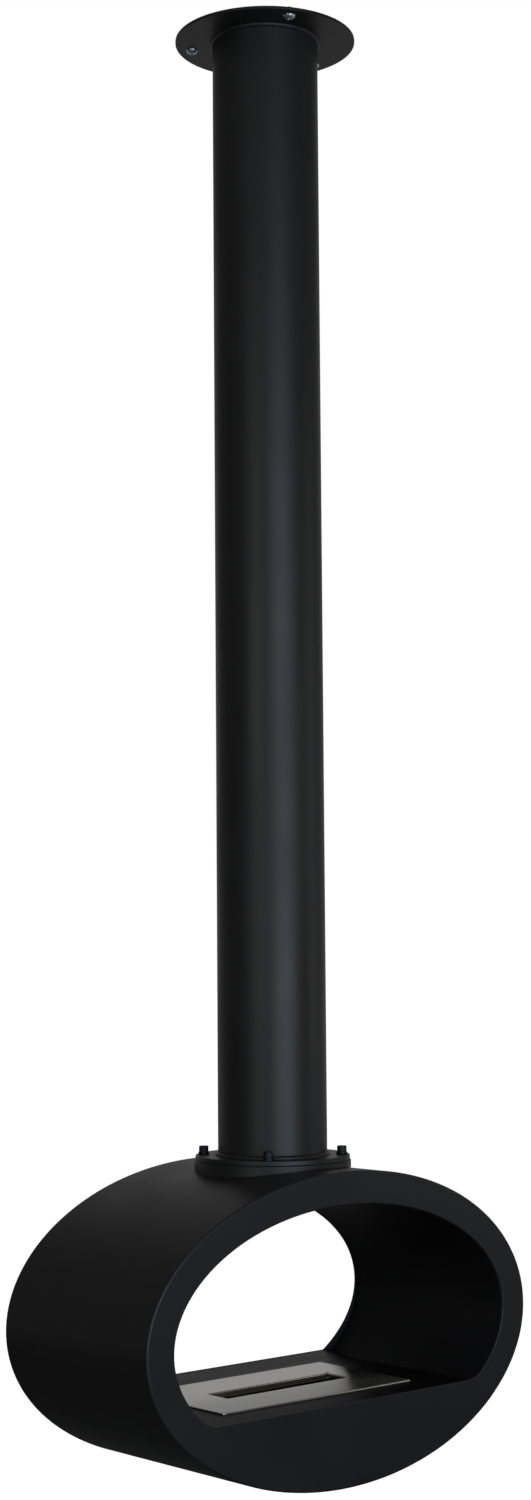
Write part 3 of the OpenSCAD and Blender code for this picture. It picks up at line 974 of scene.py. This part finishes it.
# %% Cap screws of the flange
FLANGE_BOLT_COUNT = 4
FLANGE_BOLT_CIRCLE = 95.0
FLANGE_BOLT_TURN = 45.0
CAP_RADIUS = 6.5
CAP_HEIGHT = 8.0
CAP_EDGE = 0.8
CAP_SOCKET_DEPTH = 4.0
CAP_SOCKET_BEVEL = 0.35
SHANK_RADIUS = 4.0
KNURL_COUNT = 36
KNURL_DEPTH = 0.2


def cap_screw_rows():
    """Section of one cap screw, from the tip of its shank over the knurled head into its socket."""
    low, high = box_mm("flange_bolts")
    tip, top = low[2], high[2]
    head_bottom = top - CAP_HEIGHT
    knurl = 0.5 - 0.5 * np.cos(KNURL_COUNT * round_angles(SCREW_COLUMNS))
    ribbed = CAP_RADIUS - KNURL_DEPTH * knurl
    cosine, sine = quarter_round(5)
    socket = hexagon_radius(SOCKET_WIDTH)
    rows = [(0.0, tip), (SHANK_RADIUS - CAP_EDGE, tip), (SHANK_RADIUS, tip + CAP_EDGE)]
    rows += [(SHANK_RADIUS, head_bottom), (CAP_RADIUS - CAP_EDGE, head_bottom)]
    rows += [(ribbed, head_bottom + CAP_EDGE / 2), (ribbed, top - 2 * CAP_EDGE)]
    rows += list(zip(CAP_RADIUS - CAP_EDGE * (1 - cosine), top - CAP_EDGE * (1 - sine)))
    rows += [(socket + CAP_SOCKET_BEVEL, top), (socket, top - CAP_SOCKET_BEVEL)]
    rows += [(socket, top - CAP_SOCKET_DEPTH), (0.0, top - CAP_SOCKET_DEPTH)]
    return rows


cap_grids = [
    turned(cap_screw_rows(), SCREW_COLUMNS, place)
    for place in circle_places(FLANGE_BOLT_COUNT, FLANGE_BOLT_CIRCLE, FLANGE_BOLT_TURN)
]
cap_mesh = mesh_from_grids("cap_screws", cap_grids, closed_section=False)
finish_piece("cap_screws", cap_mesh, "flange_bolts", blackened_steel)

# %% [markdown]
# ## Slider pin
#
# The pin that moves the lid under the flame slot is a short stainless stud with a rounded end, so that
# a hooked tool slips onto it easily.

# %% Slider pin
PIN_EDGE = 0.8
PIN_COLUMNS = 48

pin_low, pin_high = box_mm("slider_pin")
pin_place = (pin_low + pin_high)[:2] / 2
pin_radius = (pin_high[0] - pin_low[0]) / 2
cosine, sine = quarter_round(6)
pin_rows = [(0.0, pin_low[2]), (pin_radius, pin_low[2])]
pin_rows += list(
    zip(pin_radius - PIN_EDGE * (1 - cosine), pin_high[2] - PIN_EDGE * (1 - sine))
)
pin_rows += [(0.0, pin_high[2])]
pin_grid = turned(pin_rows, PIN_COLUMNS, pin_place)
pin_mesh = mesh_from_grids("rounded_pin", [pin_grid], closed_section=False)
finish_piece("rounded_pin", pin_mesh, "slider_pin", brushed_stainless)

# %% [markdown]
# ## Front and rear faces
#
# Each face is a flat plate, cut out along an arch with a straight sill. The rear opening is a little
# smaller than the front one and sits higher, so the rear plate stands in past the arch like a narrow
# lip. The drum's edge is welded and ground round, and the edge of the opening is broken with a file.
# These narrow roundings are what draws the thin bright lines along the edges. The grid's columns go
# round the opening, and its rows go from the opening's wall over the rounded edge, across the flat face
# and over the outer edge. An outline is shifted sideways by moving each point along the normal, which
# is the direction between its two neighbours, turned by a quarter.

# %% Outlines of the faces
LINER_WALL = 2.0
REAR_LIP = np.array([2.5, 7.0])
ARCH_POINTS = 300
CORNER_POINTS = 24
SILL_POINTS = 90
TOUCH_TRIES = 4001

floor_height = box_mm("hearth_floor")[1][2] - drum_middle
liner_high = box_mm("inner_liner")[1]
front_half_size = np.array([liner_high[0], liner_high[2] - drum_middle]) - LINER_WALL
FRONT_OPENING = {
    "half_size": front_half_size,
    "rise": 0.0,
    "sill": floor_height + 2.0,
    "corner": 50.0,
}
REAR_OPENING = {
    "half_size": front_half_size - REAR_LIP,
    "rise": 6.0,
    "sill": floor_height + 6.0,
    "corner": 8.0,
}


def ellipse(half_width, half_height, turn):
    """Points of an ellipse at the given turns: half width times cosine, half height times sine."""
    return np.stack([half_width * np.cos(turn), half_height * np.sin(turn)], axis=-1)


def shifted(outline, distance):
    """A closed outline, moved outwards by a distance. The points run anticlockwise."""
    along = np.roll(outline, -1, axis=0) - np.roll(outline, 1, axis=0)
    outwards = np.stack([along[:, 1], -along[:, 0]], axis=-1)
    return outline + distance * outwards / np.linalg.norm(outwards, axis=1, keepdims=True)


def corner_circle(half_size, sill, corner):
    """Middle of the sill's corner circle, the turn at which it touches the arch, and the direction
    from its middle to that point. For each turn tried, the circle's middle lies one radius inside the
    ellipse, along its normal. The right circle is the one that stands on the sill."""
    turn = np.radians(np.linspace(-80, 0, TOUCH_TRIES))
    touch = ellipse(*half_size, turn)
    normal = ellipse(*(1 / half_size), turn)
    normal /= np.linalg.norm(normal, axis=1, keepdims=True)
    middle = touch - corner * normal
    best = np.argmin(np.abs(middle[:, 1] - corner - sill))
    return middle[best], turn[best], math.atan2(normal[best, 1], normal[best, 0])


def opening_outline(half_size, rise, sill, corner):
    """The arch from right to left, the left corner, the sill and the right corner, anticlockwise. rise
    is the height of the ellipse's middle and sill that of the sill, both above the drum's middle."""
    middle, touch_turn, normal_turn = corner_circle(half_size, sill - rise, corner)
    arch = ellipse(*half_size, np.linspace(touch_turn, math.pi - touch_turn, ARCH_POINTS))
    arc = np.linspace(-math.pi / 2, normal_turn, CORNER_POINTS)[:-1]
    right = middle + corner * ellipse(1, 1, arc)
    left = right[::-1] * [-1, 1]
    sill_x = np.linspace(-middle[0], middle[0], SILL_POINTS)[1:-1]
    floor_line = np.stack([sill_x, np.full_like(sill_x, sill - rise)], axis=-1)
    return np.concatenate([arch, left, floor_line, right]) + [0, rise], touch_turn


def drum_outline(touch_turn):
    """The drum's ellipse with as many points: beside the arch at the same turns, and below the sill
    evenly spread over the rest of the turn."""
    beside_arch = np.linspace(touch_turn, math.pi - touch_turn, ARCH_POINTS)
    below_count = 2 * (CORNER_POINTS - 1) + SILL_POINTS
    below = np.linspace(math.pi - touch_turn, 2 * math.pi + touch_turn, below_count)
    turn = np.concatenate([beside_arch, below[1:-1]])
    return ellipse(drum_half_width, drum_half_height, turn)


print("Half axes of the front opening:", front_half_size.round(1), "mm, of the rear one:",
      REAR_OPENING["half_size"].round(1), "mm")

# %% Face plates
OPENING_EDGE = 1.6
RIM_EDGE = 2.7


def face_grid(y_back, y_front, opening_sizes):
    """Rows of the face from the opening's wall to the drum's rim. y_front is the visible side."""
    opening, touch_turn = opening_outline(**opening_sizes)
    rim = drum_outline(touch_turn)
    side = math.copysign(1.0, y_front - y_back)
    cosine, sine = quarter_round(6)
    rows = [(opening, y_back)]
    rows += [
        (shifted(opening, OPENING_EDGE * (1 - c)), y_front - side * OPENING_EDGE * (1 - s))
        for c, s in zip(cosine, sine)
    ]
    rows += [
        (shifted(rim, -RIM_EDGE * (1 - c)), y_front - side * RIM_EDGE * (1 - s))
        for c, s in zip(cosine[::-1], sine[::-1])
    ]
    rows += [(rim, y_back)]
    return np.stack([
        np.stack([line[:, 0], np.full(len(line), y), line[:, 1] + drum_middle], axis=-1)
        for line, y in rows
    ])


for name, node_name, opening_sizes in (
    ("front_face_plate", "front_face", FRONT_OPENING),
    ("rear_face_plate", "rear_face", REAR_OPENING),
):
    low, high = box_mm(node_name)
    inner_y, outer_y = sorted((low[1], high[1]), key=abs)
    grid = face_grid(inner_y, outer_y, opening_sizes)
    face_mesh = mesh_from_grids(name, [grid], closed_section=True)
    finish_piece(name, face_mesh, node_name, powder_black)

# %% [markdown]
# ## Spill ramp
#
# Along the rear lip the floor's enamel is filled up to a gentle ramp, so that spilt fuel runs back to
# the burner. A bare step would show as a black line there, while the ramp mirrors the pale backdrop, as
# the floor does. The columns go round its three-sided section, and the rows go along X. The first and
# the last row fall together on one point each, which closes the ends. The ellipse of the arch gives its
# half width at each height: the half axis times the square root of one less the square of the height's
# share.

# %% Spill ramp
RAMP_DEPTH = 46.0
RAMP_RISE = 5.6
RAMP_CLEARANCE = 0.4

rear_plane = box_mm("rear_face")[0][1]
ramp_section = np.array([
    (rear_plane - RAMP_DEPTH, floor_height),
    (rear_plane, floor_height),
    (rear_plane, floor_height + RAMP_RISE),
])
arch_half_width = front_half_size[0] * np.sqrt(1 - (ramp_section[:, 1] / front_half_size[1]) ** 2)
ramp_half_width = arch_half_width - RAMP_CLEARANCE
ramp_middle = ramp_section.mean(axis=0)
ramp_rows = []
for end, section in ((-1, ramp_middle), (-1, ramp_section), (1, ramp_section), (1, ramp_middle)):
    across = np.broadcast_to(section, (3, 2))
    ramp_rows.append(np.column_stack([end * ramp_half_width, across[:, 0], across[:, 1] + drum_middle]))
for row in (0, -1):
    ramp_rows[row][:, 0] = ramp_rows[row][:, 0].mean()
ramp_mesh = mesh_from_grids("rear_spill_ramp", [np.stack(ramp_rows)], closed_section=False)
spill_ramp = bpy.data.objects.new("rear_spill_ramp", ramp_mesh)
scene.collection.objects.link(spill_ramp)
ramp_mesh.materials.append(floor_enamel)
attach(spill_ramp, frame["nodes"]["hearth_floor"]["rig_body"])
print("Made", spill_ramp.name, "with", len(ramp_mesh.polygons), "faces")

# %% [markdown]
# ## Burner plate
#
# The burner's top is pressed from 2 mm stainless. Its outer edge is rounded over, and around the flame
# slot the sheet is folded down, which stiffens it and hides the cut edge. The slot lies a little to the
# right of the middle. The columns go round the plate's four rounded corners. The rows go from its outer
# wall, across the top and down into the slot. The slot's walls stand in the flames, so their faces get
# the heat-tinted finish: a face belongs to them if it lies close to the slot and below its rounded edge.

# %% Burner plate
PLATE_THICKNESS = 2.0
PLATE_CORNER = 3.0
PLATE_EDGE = 1.0
SLOT_HALF_SIZE = np.array([110.0, 21.0])
SLOT_MIDDLE = np.array([9.0, 0.0])
SLOT_CORNER = 3.0
SLOT_EDGE = 1.5
SLOT_RIM = 2.0
TINT_MARGIN = 0.5
CORNER_STEPS = 9


def rounded_rectangle(half_size, corner):
    """Outline of a rectangle with rounded corners, anticlockwise from the right. Each corner is an arc
    around a middle that lies the corner's radius in from both sides."""
    quarter = np.linspace(0.0, math.pi / 2, CORNER_STEPS)
    arcs = []
    for i, (x, y) in enumerate(((1, 1), (-1, 1), (-1, -1), (1, -1))):
        turn = quarter + i * math.pi / 2
        middle = (np.array(half_size) - corner) * [x, y]
        arcs.append(middle + corner * ellipse(1, 1, turn))
    return np.concatenate(arcs)


def slot_outline(distance):
    """Outline of the flame slot, moved outwards by a distance."""
    return SLOT_MIDDLE + rounded_rectangle(SLOT_HALF_SIZE + distance, SLOT_CORNER + distance)


plate_low, plate_high = box_mm("burner_top_plate")
plate_half_size = plate_high[:2]
plate_top = plate_high[2]
plate_bottom = plate_top - PLATE_THICKNESS
cosine, sine = quarter_round(5)
plate_rows = [(rounded_rectangle(plate_half_size, PLATE_CORNER), plate_bottom)]
plate_rows += [
    (rounded_rectangle(plate_half_size - PLATE_EDGE * (1 - c), PLATE_CORNER - PLATE_EDGE * (1 - c)),
     plate_top - PLATE_EDGE * (1 - s))
    for c, s in zip(cosine, sine)
]
plate_rows += [
    (slot_outline(SLOT_EDGE * (1 - c)), plate_top - SLOT_EDGE * (1 - s))
    for c, s in zip(cosine[::-1], sine[::-1])
]
plate_rows += [(slot_outline(0.0), plate_low[2]), (slot_outline(SLOT_RIM), plate_low[2])]
plate_rows += [(slot_outline(SLOT_RIM), plate_bottom)]
plate_grid = np.stack([
    np.column_stack([outline, np.full(len(outline), height)]) for outline, height in plate_rows
])
burner_mesh = mesh_from_grids("pressed_burner_plate", [plate_grid], closed_section=True)
finish_piece("pressed_burner_plate", burner_mesh, "burner_top_plate", brushed_stainless)

# %% Heat tint of the slot's walls
burner_mesh.materials.append(heat_tinted_stainless)
face_count = len(burner_mesh.polygons)
face_middle = np.empty(face_count * 3)
burner_mesh.polygons.foreach_get("center", face_middle)
face_middle = face_middle.reshape(-1, 3) / MM
from_slot = np.abs(face_middle[:, :2] - SLOT_MIDDLE) - SLOT_HALF_SIZE
close_to_slot = from_slot.max(axis=1) < SLOT_RIM + TINT_MARGIN
in_flames = close_to_slot & (face_middle[:, 2] < plate_top - SLOT_EDGE)
burner_mesh.polygons.foreach_set("material_index", in_flames.astype(np.int32))
print("Heat-tinted faces around the slot:", int(in_flames.sum()), "of", face_count)

# %% [markdown]
# ## Parts that only need their edges eased
#
# The flange, the ceiling plate, the washers, the nuts and the lid have the right shape, but no real
# edge is perfectly sharp. A copy of the mesh is merged, because the model's triangles are loose, and a
# Bevel modifier rounds every edge that turns by more than 40 degrees.

# %% Eased copies
def eased_copy(name, node_name, edge_mm, material):
    """A merged copy of a part of the model, with its edges rounded by edge_mm."""
    mesh = frame["nodes"][node_name].data.copy()
    mesh.name = name
    if "custom_normal" in mesh.attributes:
        mesh.attributes.remove(mesh.attributes["custom_normal"])
    piece = finish_piece(name, merged(mesh), node_name, material)
    easing = piece.modifiers.new("eased_edges", "BEVEL")
    easing.width = edge_mm * MM
    easing.segments = 3
    easing.limit_method = "ANGLE"
    easing.angle_limit = SHARP_EDGE
    piece.modifiers.move(1, 0)


eased_copy("ceiling_disc", "ceiling_plate", 0.6, powder_black)
eased_copy("bolted_flange", "tube_flange", 1.0, powder_black)
eased_copy("split_washers", "spring_washers", 0.25, blackened_steel)
eased_copy("round_washers", "flat_washers", 0.3, blackened_steel)
eased_copy("hexagon_nuts", "flange_nuts", 0.4, blackened_steel)
eased_copy("sliding_lid", "slider_lid", 0.3, heat_tinted_stainless)

# %% [markdown]
#
# The finish must not make the object bigger than its construction model. How far the dressed object
# reaches past the model's box is printed.

# %% Print the growth past the model's box
dressed_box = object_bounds()
growth = [max(a - b for a, b in zip(model_box[0], dressed_box[0])),
          max(b - a for a, b in zip(model_box[1], dressed_box[1]))]
print("Growth past the model's box in metres:", [round(value, 6) for value in growth])
